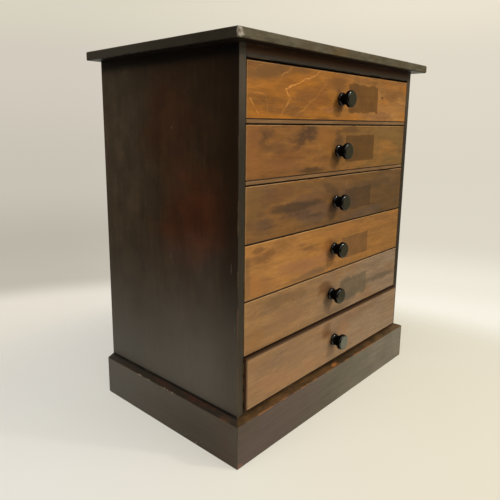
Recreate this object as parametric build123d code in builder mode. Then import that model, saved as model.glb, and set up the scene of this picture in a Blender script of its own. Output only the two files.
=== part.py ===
"""Tabletop specimen cabinet: a dark stained case on a plinth, holding a stack of six shallow drawers.

Millimetres. +X is to the right of someone facing the drawers, +Y goes to the back, +Z is up.
The origin is on the floor, under the middle of the whole cabinet with its drawers as they rest.
Drawer 1 is the top one. The lowest drawer rests a few millimetres ajar.
"""

import os

from build123d import *

# ---------------------------------------------------------------- driving sizes

# Case
case_width = 381.0
case_depth = 239.0
side_thickness = 10.0
side_arris = 0.6
bottom_thickness = 9.0
bottom_housing = 4.0
bottom_housing_stop = 9.0
back_thickness = 6.0
back_rebate = 5.0

# Top board and the two rails it is screwed to
top_thickness = 10.4
top_overhang_front = 15.8
top_overhang_side = 19.2
top_overhang_back = 3.2
top_arris = 1.3
rail_height = 13.0
rail_depth = 38.0
dovetail_length = 6.0
dovetail_root = 18.0
dovetail_tip = 24.0

# Plinth
plinth_height = 55.6
plinth_thickness = 9.8
plinth_bevel_height = 4.0
plinth_arris = 0.9
bottom_edge_showing = 4.4
glue_block_leg = 18.0
glue_block_length = 42.0
blocks_across = 3
blocks_deep = 2

# Drawers
drawer_count = 6
front_height = 61.7
lowest_front_height = 60.9
front_thickness = 13.0
front_gap = 1.3
lowest_front_gap = 0.7
lowest_front_top_gap = 2.0
highest_front_gap = 2.3
drawer_side_gap = 1.0
front_arris = 0.7
strip_height = 4.2
stripped_drawers = (1, 2)
drawer_side_thickness = 10.0
drawer_side_lift = 1.0
drawer_side_drop = 3.0
drawer_rear_gap = 4.0
drawer_back_thickness = 8.0
drawer_back_inset = 6.0
drawer_back_drop = 3.0
drawer_back_housing = 2.5
drawer_bottom_thickness = 4.0
drawer_bottom_lift = 6.5
drawer_bottom_groove = 3.5
front_lap = 4.5
tail_count = 3
tail_root = 9.5
tail_flare = 1.5
lowest_pin_height = 6.0
lowest_drawer_ajar = 4.0

# Runners, housed in the case sides and running in grooves along the drawer sides
runner_height = 8.0
runner_housing = 3.0
runner_tongue = 4.0
runner_rise = 26.0
runner_top_clearance = 0.2
runner_under_clearance = 0.4
runner_edge_clearance = 0.3
runner_stop_clearance = 0.3

# Knobs, each fitted by hand a little off the middle of its front: (across, up)
knob_projection = 16.6
knob_head_radius = 10.2
knob_head_rim = 6.2
knob_head_round = 0.9
knob_base_radius = 8.0
knob_base_thickness = 3.4
knob_base_round = 1.0
knob_neck_radius = 6.6
knob_neck_foot = 0.3
knob_waist_rise = 1.8
knob_shifts = {
    1: (-2.5, 0.0),
    2: (-4.0, -0.5),
    3: (-5.0, -2.0),
    4: (-5.0, -1.0),
    5: (-7.0, 0.5),
    6: (-1.5, -1.5),
}
usual_knob_shift = (-4.0, -0.5)
knob_screw_radius = 2.0
knob_screw_bite = 10.0
knob_screw_head_radius = 4.0
knob_screw_head_height = 2.4
screw_slot_width = 0.9
screw_slot_depth = 0.9

# Screws up through the rails into the top board, and the pins of the back panel
top_screw_radius = 2.0
top_screw_head_radius = 4.0
top_screw_bite = 7.0
top_screws_per_rail = 3
pin_radius = 0.8
pin_head_radius = 1.8
pin_head_height = 0.5
pin_length = 15.0
pins_per_row = 5
fixing_clearance = 0.12

# ---------------------------------------------------------------- levels, planes and widths that follow

bottom_top_z = plinth_height + bottom_edge_showing
bottom_under_z = bottom_top_z - bottom_thickness
second_lowest_z = bottom_top_z + lowest_front_gap + lowest_front_height + lowest_front_top_gap
upper_fronts_height = (drawer_count - 1) * (front_height + front_gap) - front_gap
rail_under_z = second_lowest_z + upper_fronts_height + highest_front_gap
top_under_z = rail_under_z + rail_height

front_reach = max(top_overhang_front, lowest_drawer_ajar + knob_projection)
back_reach = case_depth + top_overhang_back
front_y = (front_reach - back_reach) / 2
back_y = front_y + case_depth
panel_y = back_y - back_thickness
rail_middles_y = (front_y + rail_depth / 2, panel_y - rail_depth / 2)

opening_width = case_width - 2 * side_thickness
front_width = opening_width - 2 * drawer_side_gap
drawer_inner_width = front_width - 2 * drawer_side_thickness
drawer_length = case_depth - back_thickness - drawer_rear_gap
runner_front_y = front_y + front_thickness + runner_stop_clearance
runner_width = runner_housing + drawer_side_gap + runner_tongue
top_screw_pitch = opening_width / top_screws_per_rail
pin_pitch = opening_width / pins_per_row
pin_rows_z = (bottom_under_z + bottom_thickness / 2, rail_under_z + rail_height / 2)

hands = {"left": -1, "right": 1}
drawer_numbers = range(1, drawer_count + 1)


def height_of_front(number):
    """Height of a drawer's front: the lowest one is planed a little lower than the rest."""
    return lowest_front_height if number == drawer_count else front_height


def front_low_z(number):
    """Lower edge of a drawer's front."""
    if number == drawer_count:
        return bottom_top_z + lowest_front_gap
    fronts_between = drawer_count - 1 - number
    return second_lowest_z + fronts_between * (front_height + front_gap)


def front_face_y(number):
    """Plane of a drawer's front face as the drawer rests."""
    return front_y - lowest_drawer_ajar if number == drawer_count else front_y


def drawer_side_low_z(number):
    return front_low_z(number) + drawer_side_lift


def drawer_side_top_z(number):
    return front_low_z(number) + height_of_front(number) - drawer_side_drop


def drawer_bottom_low_z(number):
    return front_low_z(number) + drawer_bottom_lift


def runner_middle_z(number):
    return front_low_z(number) + runner_rise + runner_height / 2


def drawer_back_planes(number):
    """The near and far faces of a drawer's back board."""
    far_y = front_face_y(number) + drawer_length - drawer_back_inset
    return far_y - drawer_back_thickness, far_y


def knob_spot(number):
    """Where a knob's axis meets the front face."""
    across, up = knob_shifts.get(number, usual_knob_shift)
    middle_z = front_low_z(number) + height_of_front(number) / 2
    return across, front_face_y(number), middle_z + up


def save(part, label):
    """Name a finished piece and write its file."""
    part.label = label
    export_step(part, f"parts/{label}.step")


# ---------------------------------------------------------------- top board, rails and their screws


def make_top_board():
    top_depth = top_overhang_front + back_reach
    middle_y = front_y - top_overhang_front + top_depth / 2
    with BuildPart() as top_board:
        with BuildSketch(Plane.XY.offset(top_under_z)):
            with Locations((0, middle_y)):
                Rectangle(case_width + 2 * top_overhang_side, top_depth)
        extrude(amount=top_thickness)
        fillet(top_board.edges(), radius=top_arris)
        with BuildSketch(Plane.XY.offset(top_under_z)):
            with Locations(*top_screw_spots()):
                Circle(top_screw_radius + fixing_clearance)
        extrude(amount=top_screw_bite + fixing_clearance, mode=Mode.SUBTRACT)
    return top_board.part


def top_screw_spots():
    """Plan positions of the screws: an even row along each rail."""
    first_x = -top_screw_pitch * (top_screws_per_rail - 1) / 2
    columns_x = [first_x + place * top_screw_pitch for place in range(top_screws_per_rail)]
    return [(x, y) for y in rail_middles_y for x in columns_x]


def draw_dovetail(hand, middle_y):
    """Plan of the lapped dovetail on one end of a rail, from the case side's inner face outwards."""
    root_x = hand * opening_width / 2
    tip_x = root_x + hand * dovetail_length
    Polygon(
        (root_x, middle_y - dovetail_root / 2),
        (tip_x, middle_y - dovetail_tip / 2),
        (tip_x, middle_y + dovetail_tip / 2),
        (root_x, middle_y + dovetail_root / 2),
        align=None,
    )


def make_top_rail(middle_y):
    with BuildPart() as rail:
        with BuildSketch(Plane.XY.offset(rail_under_z)):
            with Locations((0, middle_y)):
                Rectangle(opening_width, rail_depth)
            for hand in hands.values():
                draw_dovetail(hand, middle_y)
        extrude(amount=rail_height)
        with Locations(Plane(origin=(0, middle_y, rail_under_z), x_dir=(1, 0, 0), z_dir=(0, 0, -1))):
            with GridLocations(top_screw_pitch, rail_depth, top_screws_per_rail, 1):
                CounterSinkHole(
                    radius=top_screw_radius + fixing_clearance,
                    counter_sink_radius=top_screw_head_radius + fixing_clearance,
                    counter_sink_angle=90,
                )
        if middle_y == rail_middles_y[-1]:
            cut_pin_holes(pin_rows_z[-1])
    return rail.part


def make_top_screws():
    """Countersunk screws, heads flush with the undersides of the rails."""
    head_height = top_screw_head_radius - top_screw_radius
    length = rail_height + top_screw_bite
    with BuildPart() as screws:
        for x, y in top_screw_spots():
            with BuildSketch(Plane(origin=(x, y, rail_under_z), x_dir=(1, 0, 0), z_dir=(0, -1, 0))):
                Polygon(
                    (0, 0),
                    (top_screw_head_radius, 0),
                    (top_screw_radius, head_height),
                    (top_screw_radius, length - top_screw_radius),
                    (0, length),
                    align=None,
                )
            revolve(axis=Axis((x, y, rail_under_z), (0, 0, 1)))
            with BuildSketch(Plane.XY.offset(rail_under_z)):
                with Locations((x, y)):
                    Rectangle(2 * top_screw_head_radius, screw_slot_width)
            extrude(amount=screw_slot_depth, mode=Mode.SUBTRACT)
    return screws.part


# ---------------------------------------------------------------- case sides and runners


def make_case_side(hand):
    outer_x = hand * case_width / 2
    inner_x = hand * opening_width / 2
    housing_front_y = front_y + bottom_housing_stop
    with BuildPart() as case_side:
        with BuildSketch(Plane.XY):
            with Locations(((outer_x + inner_x) / 2, (front_y + back_y) / 2)):
                Rectangle(side_thickness, case_depth)
        extrude(amount=top_under_z)
        fillet(case_side.edges().filter_by(Axis.Z).group_by(Axis.Y)[0], radius=side_arris)
        # Rebate for the back panel, down to the level of the bottom board
        with BuildSketch(Plane.XY.offset(bottom_under_z)):
            with Locations((inner_x + hand * back_rebate / 2, (panel_y + back_y) / 2)):
                Rectangle(back_rebate, back_thickness)
        extrude(amount=top_under_z - bottom_under_z, mode=Mode.SUBTRACT)
        # Stopped housing for the bottom board
        with BuildSketch(Plane.XY.offset(bottom_under_z)):
            with Locations((inner_x + hand * bottom_housing / 2, (housing_front_y + panel_y) / 2)):
                Rectangle(bottom_housing, panel_y - housing_front_y)
        extrude(amount=bottom_thickness, mode=Mode.SUBTRACT)
        # Sockets for the dovetails of the two rails
        with BuildSketch(Plane.XY.offset(rail_under_z)):
            for middle_y in rail_middles_y:
                draw_dovetail(hand, middle_y)
        extrude(amount=rail_height, mode=Mode.SUBTRACT)
        # Housings for the runners
        with BuildSketch(Plane.XZ.offset(-runner_front_y)):
            for number in drawer_numbers:
                with Locations((inner_x + hand * runner_housing / 2, runner_middle_z(number))):
                    Rectangle(runner_housing, runner_height)
        extrude(amount=runner_front_y - panel_y, mode=Mode.SUBTRACT)
    return case_side.part


def make_runners(hand):
    """One strip for each drawer, from just behind its front to the back panel."""
    middle_x = hand * (opening_width / 2 + runner_housing - runner_width / 2)
    with BuildPart() as runners:
        with BuildSketch(Plane.XZ.offset(-runner_front_y)):
            for number in drawer_numbers:
                with Locations((middle_x, runner_middle_z(number))):
                    Rectangle(runner_width, runner_height)
        extrude(amount=runner_front_y - panel_y)
    return runners.part


# ---------------------------------------------------------------- bottom board, back panel and pins


def make_bottom_board():
    with BuildPart() as bottom_board:
        with BuildSketch(Plane.XY.offset(bottom_under_z)):
            with Locations((0, (front_y + panel_y) / 2)):
                Rectangle(opening_width, panel_y - front_y)
            with Locations((0, (front_y + bottom_housing_stop + panel_y) / 2)):
                Rectangle(opening_width + 2 * bottom_housing, panel_y - front_y - bottom_housing_stop)
        extrude(amount=bottom_thickness)
        cut_pin_holes(pin_rows_z[0])
    return bottom_board.part


def cut_pin_holes(row_z):
    """Holes for one row of the back panel's pins, cut from the back of the case."""
    with Locations(Plane(origin=(0, back_y, row_z), x_dir=(-1, 0, 0), z_dir=(0, 1, 0))):
        with GridLocations(pin_pitch, pin_length, pins_per_row, 1):
            Hole(radius=pin_radius + fixing_clearance, depth=pin_length + fixing_clearance)


def make_back_panel():
    with BuildPart() as back_panel:
        with BuildSketch(Plane.XY.offset(bottom_under_z)):
            with Locations((0, (panel_y + back_y) / 2)):
                Rectangle(opening_width + 2 * back_rebate, back_thickness)
        extrude(amount=top_under_z - bottom_under_z)
        for row_z in pin_rows_z:
            cut_pin_holes(row_z)
    return back_panel.part


def make_back_pins():
    """Flat-headed pins through the back panel into the bottom board and the back rail."""
    with BuildPart() as pins:
        for row_z in pin_rows_z:
            with BuildSketch(Plane(origin=(0, back_y, row_z), x_dir=(-1, 0, 0), z_dir=(0, 1, 0))):
                with GridLocations(pin_pitch, pin_length, pins_per_row, 1):
                    Circle(pin_radius)
            extrude(amount=-pin_length)
            with BuildSketch(Plane(origin=(0, back_y, row_z), x_dir=(-1, 0, 0), z_dir=(0, 1, 0))):
                with GridLocations(pin_pitch, pin_length, pins_per_row, 1):
                    Circle(pin_head_radius)
            extrude(amount=pin_head_height)
    return pins.part


# ---------------------------------------------------------------- plinth and glue blocks

plinth_outer_x = case_width / 2 + plinth_thickness
plinth_outer_y = front_y - plinth_thickness


def draw_plinth_section():
    """Section of the moulding: local x runs out from the case, local y is up."""
    Polygon(
        (0, 0),
        (plinth_thickness, 0),
        (plinth_thickness, plinth_height - plinth_bevel_height),
        (0, plinth_height),
        align=None,
    )


def mitre_plane(hand):
    """Upright plane through a front corner of the plinth, facing the side board."""
    return Plane(origin=(hand * case_width / 2, front_y, 0), x_dir=(hand, -1, 0), z_dir=(hand, 1, 0))


def make_plinth_front():
    with BuildPart() as plinth_front:
        with BuildSketch(Plane(origin=(-plinth_outer_x, front_y, 0), x_dir=(0, -1, 0), z_dir=(-1, 0, 0))):
            draw_plinth_section()
        extrude(amount=-2 * plinth_outer_x)
        fillet(plinth_front.faces().sort_by(Axis.Y)[0].edges(), radius=plinth_arris)
        for hand in hands.values():
            split(bisect_by=mitre_plane(hand), keep=Keep.BOTTOM)
    return plinth_front.part


def make_plinth_side(hand):
    section_plane = Plane(origin=(hand * case_width / 2, back_y, 0), x_dir=(hand, 0, 0), z_dir=(0, -hand, 0))
    outward = Axis((0, 0, 0), (hand, 0, 0))
    with BuildPart() as plinth_side:
        with BuildSketch(section_plane):
            draw_plinth_section()
        extrude(amount=hand * (back_y - plinth_outer_y))
        fillet(plinth_side.faces().sort_by(outward)[-1].edges(), radius=plinth_arris)
        split(bisect_by=mitre_plane(hand), keep=Keep.TOP)
    return plinth_side.part


def make_plinth_back():
    """Plain rail that closes the plinth between the case sides."""
    with BuildPart() as plinth_back:
        with BuildSketch(Plane.XY):
            with Locations((0, back_y - plinth_thickness / 2)):
                Rectangle(opening_width, plinth_thickness)
        extrude(amount=bottom_under_z)
    return plinth_back.part


def add_glue_block(corner_x, corner_y, out_x, out_y):
    """Triangular block in the angle under the bottom board; out_x, out_y point away from the wall."""
    corner = (corner_x, corner_y, bottom_under_z)
    end_plane = Plane(origin=corner, x_dir=(out_x, out_y, 0), z_dir=(-out_y, out_x, 0))
    with BuildSketch(end_plane) as end:
        up = end.workplanes[0].y_dir.Z
        Polygon((0, 0), (glue_block_leg, 0), (0, -up * glue_block_leg), align=None)
    extrude(end.sketch, amount=glue_block_length / 2, both=True)


def make_glue_blocks():
    clear_depth = case_depth - plinth_thickness
    pitch_across = opening_width / blocks_across
    pitch_deep = clear_depth / blocks_deep
    with BuildPart() as blocks:
        for place in range(blocks_across):
            x = (place + 0.5) * pitch_across - opening_width / 2
            add_glue_block(x, front_y, 0, 1)
            add_glue_block(x, back_y - plinth_thickness, 0, -1)
        for place in range(blocks_deep):
            y = front_y + (place + 0.5) * pitch_deep
            for hand in hands.values():
                add_glue_block(hand * opening_width / 2, y, -hand, 0)
    return blocks.part


# ---------------------------------------------------------------- drawers


def draw_tails(number):
    """Dovetails at the front end of a drawer's side, in the plane of the side (local x is +Y)."""
    root_y = front_face_y(number) + front_thickness
    tip_y = front_face_y(number) + front_lap
    low_z = front_low_z(number) + lowest_pin_height
    pitch = (drawer_side_top_z(number) - low_z) / tail_count
    for tail in range(tail_count):
        middle_z = low_z + (tail + 0.5) * pitch
        Polygon(
            (root_y, middle_z - tail_root / 2),
            (root_y, middle_z + tail_root / 2),
            (tip_y, middle_z + tail_root / 2 + tail_flare),
            (tip_y, middle_z - tail_root / 2 - tail_flare),
            align=None,
        )


def front_board_low_z(number):
    """Lower edge of the front board itself, above its strip where it has one."""
    return front_low_z(number) + (strip_height if number in stripped_drawers else 0)


def make_drawer_front(number):
    face_y = front_face_y(number)
    low_z = front_board_low_z(number)
    top_z = front_low_z(number) + height_of_front(number)
    knob_x, knob_y, knob_z = knob_spot(number)
    with BuildPart() as front:
        with BuildSketch(Plane.XZ.offset(-face_y)):
            with Locations((0, (low_z + top_z) / 2)):
                Rectangle(front_width, top_z - low_z)
        extrude(amount=-front_thickness)
        fillet(front.faces().sort_by(Axis.Y)[0].edges(), radius=front_arris)
        # Sockets for the dovetails of the two sides
        for hand in hands.values():
            with BuildSketch(Plane.YZ.offset(hand * front_width / 2)):
                draw_tails(number)
            extrude(amount=-hand * drawer_side_thickness, mode=Mode.SUBTRACT)
        # Groove for the drawer's bottom
        with BuildSketch(Plane.XY.offset(drawer_bottom_low_z(number))):
            with Locations((0, face_y + front_thickness - drawer_bottom_groove / 2)):
                Rectangle(drawer_inner_width, drawer_bottom_groove)
        extrude(amount=drawer_bottom_thickness, mode=Mode.SUBTRACT)
        with Locations(Plane(origin=(knob_x, knob_y, knob_z), x_dir=(1, 0, 0), z_dir=(0, -1, 0))):
            Hole(radius=knob_screw_radius + fixing_clearance, depth=front_thickness)
    return front.part


def make_front_strip(number):
    """Thin strip glued under the front board, showing as a line just above the lower edge."""
    with BuildPart() as strip:
        with BuildSketch(Plane.XZ.offset(-front_face_y(number))):
            with Locations((0, front_low_z(number) + strip_height / 2)):
                Rectangle(front_width, strip_height)
        extrude(amount=-front_thickness)
        fillet(strip.faces().sort_by(Axis.Y)[0].edges(), radius=front_arris)
    return strip.part


def make_drawer_side(number, hand):
    root_y = front_face_y(number) + front_thickness
    rear_y = front_face_y(number) + drawer_length
    low_z = drawer_side_low_z(number)
    top_z = drawer_side_top_z(number)
    outer_x = hand * front_width / 2
    inner_x = hand * drawer_inner_width / 2
    back_near_y, back_far_y = drawer_back_planes(number)
    bottom_low_z = drawer_bottom_low_z(number)
    with BuildPart() as side:
        with BuildSketch(Plane.YZ.offset(outer_x)):
            with Locations(((root_y + rear_y) / 2, (low_z + top_z) / 2)):
                Rectangle(rear_y - root_y, top_z - low_z)
            draw_tails(number)
        extrude(amount=-hand * drawer_side_thickness)
        # Runner groove along the outside, stopped by the drawer's front
        groove_low_z = runner_middle_z(number) - runner_height / 2 - runner_under_clearance
        groove_top_z = runner_middle_z(number) + runner_height / 2 + runner_top_clearance
        with BuildSketch(Plane.YZ.offset(outer_x)):
            with Locations(((root_y + rear_y) / 2, (groove_low_z + groove_top_z) / 2)):
                Rectangle(rear_y - root_y, groove_top_z - groove_low_z)
        extrude(amount=-hand * (runner_tongue + runner_edge_clearance), mode=Mode.SUBTRACT)
        # Groove for the drawer's bottom along the inside
        with BuildSketch(Plane.YZ.offset(inner_x)):
            with Locations(((root_y + rear_y) / 2, bottom_low_z + drawer_bottom_thickness / 2)):
                Rectangle(rear_y - root_y, drawer_bottom_thickness)
        extrude(amount=hand * drawer_bottom_groove, mode=Mode.SUBTRACT)
        # Housing for the drawer's back
        housing_low_z = bottom_low_z + drawer_bottom_thickness
        housing_top_z = top_z - drawer_back_drop
        with BuildSketch(Plane.YZ.offset(inner_x)):
            with Locations(((back_near_y + back_far_y) / 2, (housing_low_z + housing_top_z) / 2)):
                Rectangle(drawer_back_thickness, housing_top_z - housing_low_z)
        extrude(amount=hand * drawer_back_housing, mode=Mode.SUBTRACT)
    return side.part


def make_drawer_back(number):
    near_y, far_y = drawer_back_planes(number)
    low_z = drawer_bottom_low_z(number) + drawer_bottom_thickness
    with BuildPart() as back:
        with BuildSketch(Plane.XY.offset(low_z)):
            with Locations((0, (near_y + far_y) / 2)):
                Rectangle(drawer_inner_width + 2 * drawer_back_housing, drawer_back_thickness)
        extrude(amount=drawer_side_top_z(number) - drawer_back_drop - low_z)
    return back.part


def make_drawer_bottom(number):
    root_y = front_face_y(number) + front_thickness
    far_y = drawer_back_planes(number)[1]
    tongue_y = root_y - drawer_bottom_groove
    with BuildPart() as bottom:
        with BuildSketch(Plane.XY.offset(drawer_bottom_low_z(number))):
            with Locations((0, (root_y + far_y) / 2)):
                Rectangle(drawer_inner_width + 2 * drawer_bottom_groove, far_y - root_y)
            with Locations((0, (tongue_y + far_y) / 2)):
                Rectangle(drawer_inner_width, far_y - tongue_y)
        extrude(amount=drawer_bottom_thickness)
    return bottom.part


# ---------------------------------------------------------------- knobs and their screws


def make_knob(number):
    """Turned knob: a low drum against the front, a waisted neck and a flat-faced head."""
    spot = knob_spot(number)
    neck_end = knob_projection - knob_head_rim
    with BuildPart() as knob:
        with BuildSketch(Plane(origin=spot, x_dir=(1, 0, 0), z_dir=(0, 0, -1))):
            with BuildLine():
                axis_foot = (0, 0)
                base_foot = (knob_base_radius, 0)
                base_edge = (knob_base_radius, knob_base_thickness - knob_base_round)
                base_top = (knob_base_radius - knob_base_round, knob_base_thickness)
                neck_foot = (knob_neck_radius + knob_neck_foot, knob_base_thickness)
                waist = (knob_neck_radius, knob_base_thickness + knob_waist_rise)
                head_under = (knob_head_radius - knob_head_round / 2, neck_end)
                head_low = (knob_head_radius, neck_end + knob_head_round)
                head_high = (knob_head_radius, knob_projection - knob_head_round)
                face_edge = (knob_head_radius - knob_head_round, knob_projection)
                Polyline(face_edge, (0, knob_projection), axis_foot, base_foot, base_edge)
                RadiusArc(base_edge, base_top, -knob_base_round)
                Line(base_top, neck_foot)
                ThreePointArc(neck_foot, waist, head_under)
                Polyline(head_under, head_low, head_high)
                RadiusArc(head_high, face_edge, -knob_head_round)
            make_face()
        revolve(axis=Axis(spot, (0, 1, 0)))
        with Locations(Plane(origin=spot, x_dir=(1, 0, 0), z_dir=(0, 1, 0))):
            Hole(radius=knob_screw_radius + fixing_clearance, depth=knob_screw_bite + fixing_clearance)
    return knob.part


def make_knob_screw(number):
    """Round-headed screw from inside the drawer, through the front and into the knob."""
    knob_x, face_y, knob_z = knob_spot(number)
    seat = (knob_x, face_y + front_thickness, knob_z)
    length = front_thickness + knob_screw_bite
    dome_radius = (knob_screw_head_radius**2 + knob_screw_head_height**2) / (2 * knob_screw_head_height)
    with BuildPart() as screw:
        with BuildSketch(Plane(origin=seat, x_dir=(1, 0, 0), z_dir=(0, 0, 1))):
            with BuildLine():
                head_top = (0, knob_screw_head_height)
                head_edge = (knob_screw_head_radius, 0)
                shank_edge = (knob_screw_radius, 0)
                shank_end = (knob_screw_radius, knob_screw_radius - length)
                RadiusArc(head_top, head_edge, dome_radius)
                Polyline(head_edge, shank_edge, shank_end, (0, -length), head_top)
            make_face()
        revolve(axis=Axis(seat, (0, 1, 0)))
        slot_floor_y = seat[1] + knob_screw_head_height - screw_slot_depth
        with BuildSketch(Plane.XZ.offset(-slot_floor_y)):
            with Locations((knob_x, knob_z)):
                Rectangle(2 * knob_screw_head_radius, screw_slot_width)
        extrude(amount=-screw_slot_depth, mode=Mode.SUBTRACT)
    return screw.part


# ---------------------------------------------------------------- write every piece

os.makedirs("parts", exist_ok=True)

save(make_top_board(), "top_board")
save(make_top_rail(rail_middles_y[0]), "top_rail_front")
save(make_top_rail(rail_middles_y[1]), "top_rail_back")
save(make_top_screws(), "top_screws")
save(make_bottom_board(), "bottom_board")
save(make_back_panel(), "back_panel")
save(make_back_pins(), "back_pins")
save(make_plinth_front(), "plinth_front")
save(make_plinth_back(), "plinth_back")
save(make_glue_blocks(), "glue_blocks")
for side_name, side_hand in hands.items():
    save(make_case_side(side_hand), f"side_{side_name}")
    save(make_runners(side_hand), f"runners_{side_name}")
    save(make_plinth_side(side_hand), f"plinth_{side_name}")

for drawer in drawer_numbers:
    save(make_drawer_front(drawer), f"drawer_{drawer}_front")
    if drawer in stripped_drawers:
        save(make_front_strip(drawer), f"drawer_{drawer}_front_strip")
    for side_name, side_hand in hands.items():
        save(make_drawer_side(drawer, side_hand), f"drawer_{drawer}_side_{side_name}")
    save(make_drawer_back(drawer), f"drawer_{drawer}_back")
    save(make_drawer_bottom(drawer), f"drawer_{drawer}_bottom")
    save(make_knob(drawer), f"knob_{drawer}")
    save(make_knob_screw(drawer), f"knob_screw_{drawer}")
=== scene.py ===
"""Looks of the specimen cabinet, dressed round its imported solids.

Everything is in metres, in the row frame: Z is up, the drawer fronts face -Y, and +X is the
cabinet's right side.
"""

import math

import bmesh
import bpy
from mathutils import Matrix, Vector, noise


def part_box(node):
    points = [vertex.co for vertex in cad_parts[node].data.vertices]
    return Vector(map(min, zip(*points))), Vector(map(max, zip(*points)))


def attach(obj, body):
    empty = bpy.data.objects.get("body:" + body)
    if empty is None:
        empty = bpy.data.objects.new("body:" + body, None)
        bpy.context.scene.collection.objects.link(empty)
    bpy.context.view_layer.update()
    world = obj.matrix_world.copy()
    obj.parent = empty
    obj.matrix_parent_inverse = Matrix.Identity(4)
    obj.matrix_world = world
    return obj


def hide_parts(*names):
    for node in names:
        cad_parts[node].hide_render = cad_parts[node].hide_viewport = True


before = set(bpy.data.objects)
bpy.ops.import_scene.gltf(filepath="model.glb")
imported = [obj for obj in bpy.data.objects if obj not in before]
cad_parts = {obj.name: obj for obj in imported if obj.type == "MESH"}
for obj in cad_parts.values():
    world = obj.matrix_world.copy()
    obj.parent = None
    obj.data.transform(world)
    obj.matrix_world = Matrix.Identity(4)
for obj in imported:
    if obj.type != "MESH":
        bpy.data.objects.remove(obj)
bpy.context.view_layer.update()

MM = 0.001
drawer_count = 6
case_low, case_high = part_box("side_left")
case_face_y = case_low.y
inner_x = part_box("side_right")[0].x
plinth_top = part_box("plinth_left")[1].z
origin = (0.0, 0.0, 0.0)


def colour(red, green, blue):
    """A colour written as 0 to 255 per channel, as a linear value."""
    linear = [((v / 255 + 0.055) / 1.055) ** 2.4 if v > 10 else v / 255 / 12.92 for v in (red, green, blue)]
    return (*linear, 1.0)


# ---------------------------------------------------------------- nodes


def join(tree, value, socket):
    """Links an output to the socket, or sets its plain value."""
    if isinstance(value, bpy.types.NodeSocket):
        tree.links.new(value, socket)
    else:
        socket.default_value = value


def add(tree, kind, inputs=None, **settings):
    """A node with its settings and its inputs."""
    node = tree.nodes.new("ShaderNode" + kind)
    for name, value in settings.items():
        setattr(node, name, value)
    for name, value in (inputs or {}).items():
        join(tree, value, node.inputs[name])
    return node


def maths(tree, operation, *values, clamp=False):
    node = add(tree, "Math", operation=operation, use_clamp=clamp)
    for value, socket in zip(values, node.inputs):
        join(tree, value, socket)
    return node.outputs[0]


def times(tree, *values):
    return maths(tree, "MULTIPLY", *values)


def vectors(tree, operation, *values):
    node = add(tree, "VectorMath", operation=operation)
    for value, socket in zip(values, node.inputs):
        join(tree, value, socket)
    return node.outputs["Value" if operation in ("LENGTH", "DOT_PRODUCT") else "Vector"]


def blend(tree, share, under, over):
    """Two colours mixed by a share from 0 to 1."""
    node = add(tree, "Mix", data_type="RGBA")
    join(tree, share, node.inputs[0])
    join(tree, under, node.inputs[6])
    join(tree, over, node.inputs[7])
    return node.outputs[2]


def tint(tree, paint, mask, share, tone):
    """A paint stained with a tone, as strongly as the mask times its share."""
    return blend(tree, times(tree, mask, share), paint, colour(*tone))


def between(tree, share, under, over):
    """Two plain numbers mixed by a share from 0 to 1."""
    ends = {"Value": share, "To Min": under, "To Max": over}
    return add(tree, "MapRange", ends, interpolation_type="LINEAR").outputs[0]


def slope(tree, value, start, end):
    """0 up to start and 1 from end, smooth between."""
    ends = {"Value": value, "From Min": start, "From Max": end}
    return add(tree, "MapRange", ends, interpolation_type="SMOOTHSTEP").outputs[0]


def shaded(tree, paint, value):
    return add(tree, "HueSaturation", {"Color": paint, "Value": value}).outputs[0]


def mottle(tree, place, scale, detail=3.0, seed=0.0, rough=0.55):
    """Cloudy noise, 0 to 1."""
    inputs = {"Vector": place, "W": seed, "Scale": scale, "Detail": detail, "Roughness": rough}
    return add(tree, "TexNoise", inputs, noise_dimensions="4D").outputs["Fac"]


def axes(tree, vector):
    return add(tree, "SeparateXYZ", {"Vector": vector}).outputs


def effect(name, takes, gives):
    """An empty node group with its named inputs and outputs."""
    tree = bpy.data.node_groups.new(name, "ShaderNodeTree")
    for label, start in takes.items():
        kind = "NodeSocketFloat" if isinstance(start, float) else "NodeSocketVector"
        socket = tree.interface.new_socket(label, in_out="INPUT", socket_type=kind)
        socket.default_value = start
    for label in gives:
        tree.interface.new_socket(label, in_out="OUTPUT", socket_type="NodeSocketFloat")
    return tree, tree.nodes.new("NodeGroupInput").outputs, tree.nodes.new("NodeGroupOutput").inputs


def use(tree, group, inputs):
    """Places a group in a material, and gives its outputs."""
    node = add(tree, "Group", node_tree=group)
    for name, value in inputs.items():
        join(tree, value, node.inputs[name])
    return node.outputs


# ---------------------------------------------------------------- effects that several finishes share


def make_board_grain():
    """Grain along X: soft bands, growth lines and fine pores."""
    tree, given, told = effect(
        "board grain",
        {"Vector": origin, "Seed": 0.0, "Stretch": 9.0, "Coarse": 16.0, "Fine": 170.0},
        ("Bands", "Lines", "Pores"),
    )
    squeeze = add(tree, "CombineXYZ", {"X": maths(tree, "DIVIDE", 1.0, given["Stretch"]), "Y": 1.0, "Z": 1.0})
    along = vectors(tree, "MULTIPLY", given["Vector"], squeeze.outputs[0])
    bend = mottle(tree, along, 7.0, 2.0, given["Seed"])
    sway = {"Y": times(tree, bend, 0.03), "Z": times(tree, bend, 0.05)}
    swayed = vectors(tree, "ADD", along, add(tree, "CombineXYZ", sway).outputs[0])
    join(tree, mottle(tree, swayed, given["Coarse"], 4.0, given["Seed"]), told["Bands"])
    lines_seed = maths(tree, "ADD", given["Seed"], 3.0)
    join(tree, mottle(tree, swayed, given["Fine"], 3.0, lines_seed, 0.65), told["Lines"])
    thin = vectors(tree, "MULTIPLY", swayed, (0.35, 1.0, 1.0))
    finest = times(tree, given["Fine"], 5.0)
    fleck = mottle(tree, thin, finest, 2.0, maths(tree, "ADD", given["Seed"], 7.0))
    join(tree, slope(tree, fleck, 0.56, 0.72), told["Pores"])
    return tree


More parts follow.
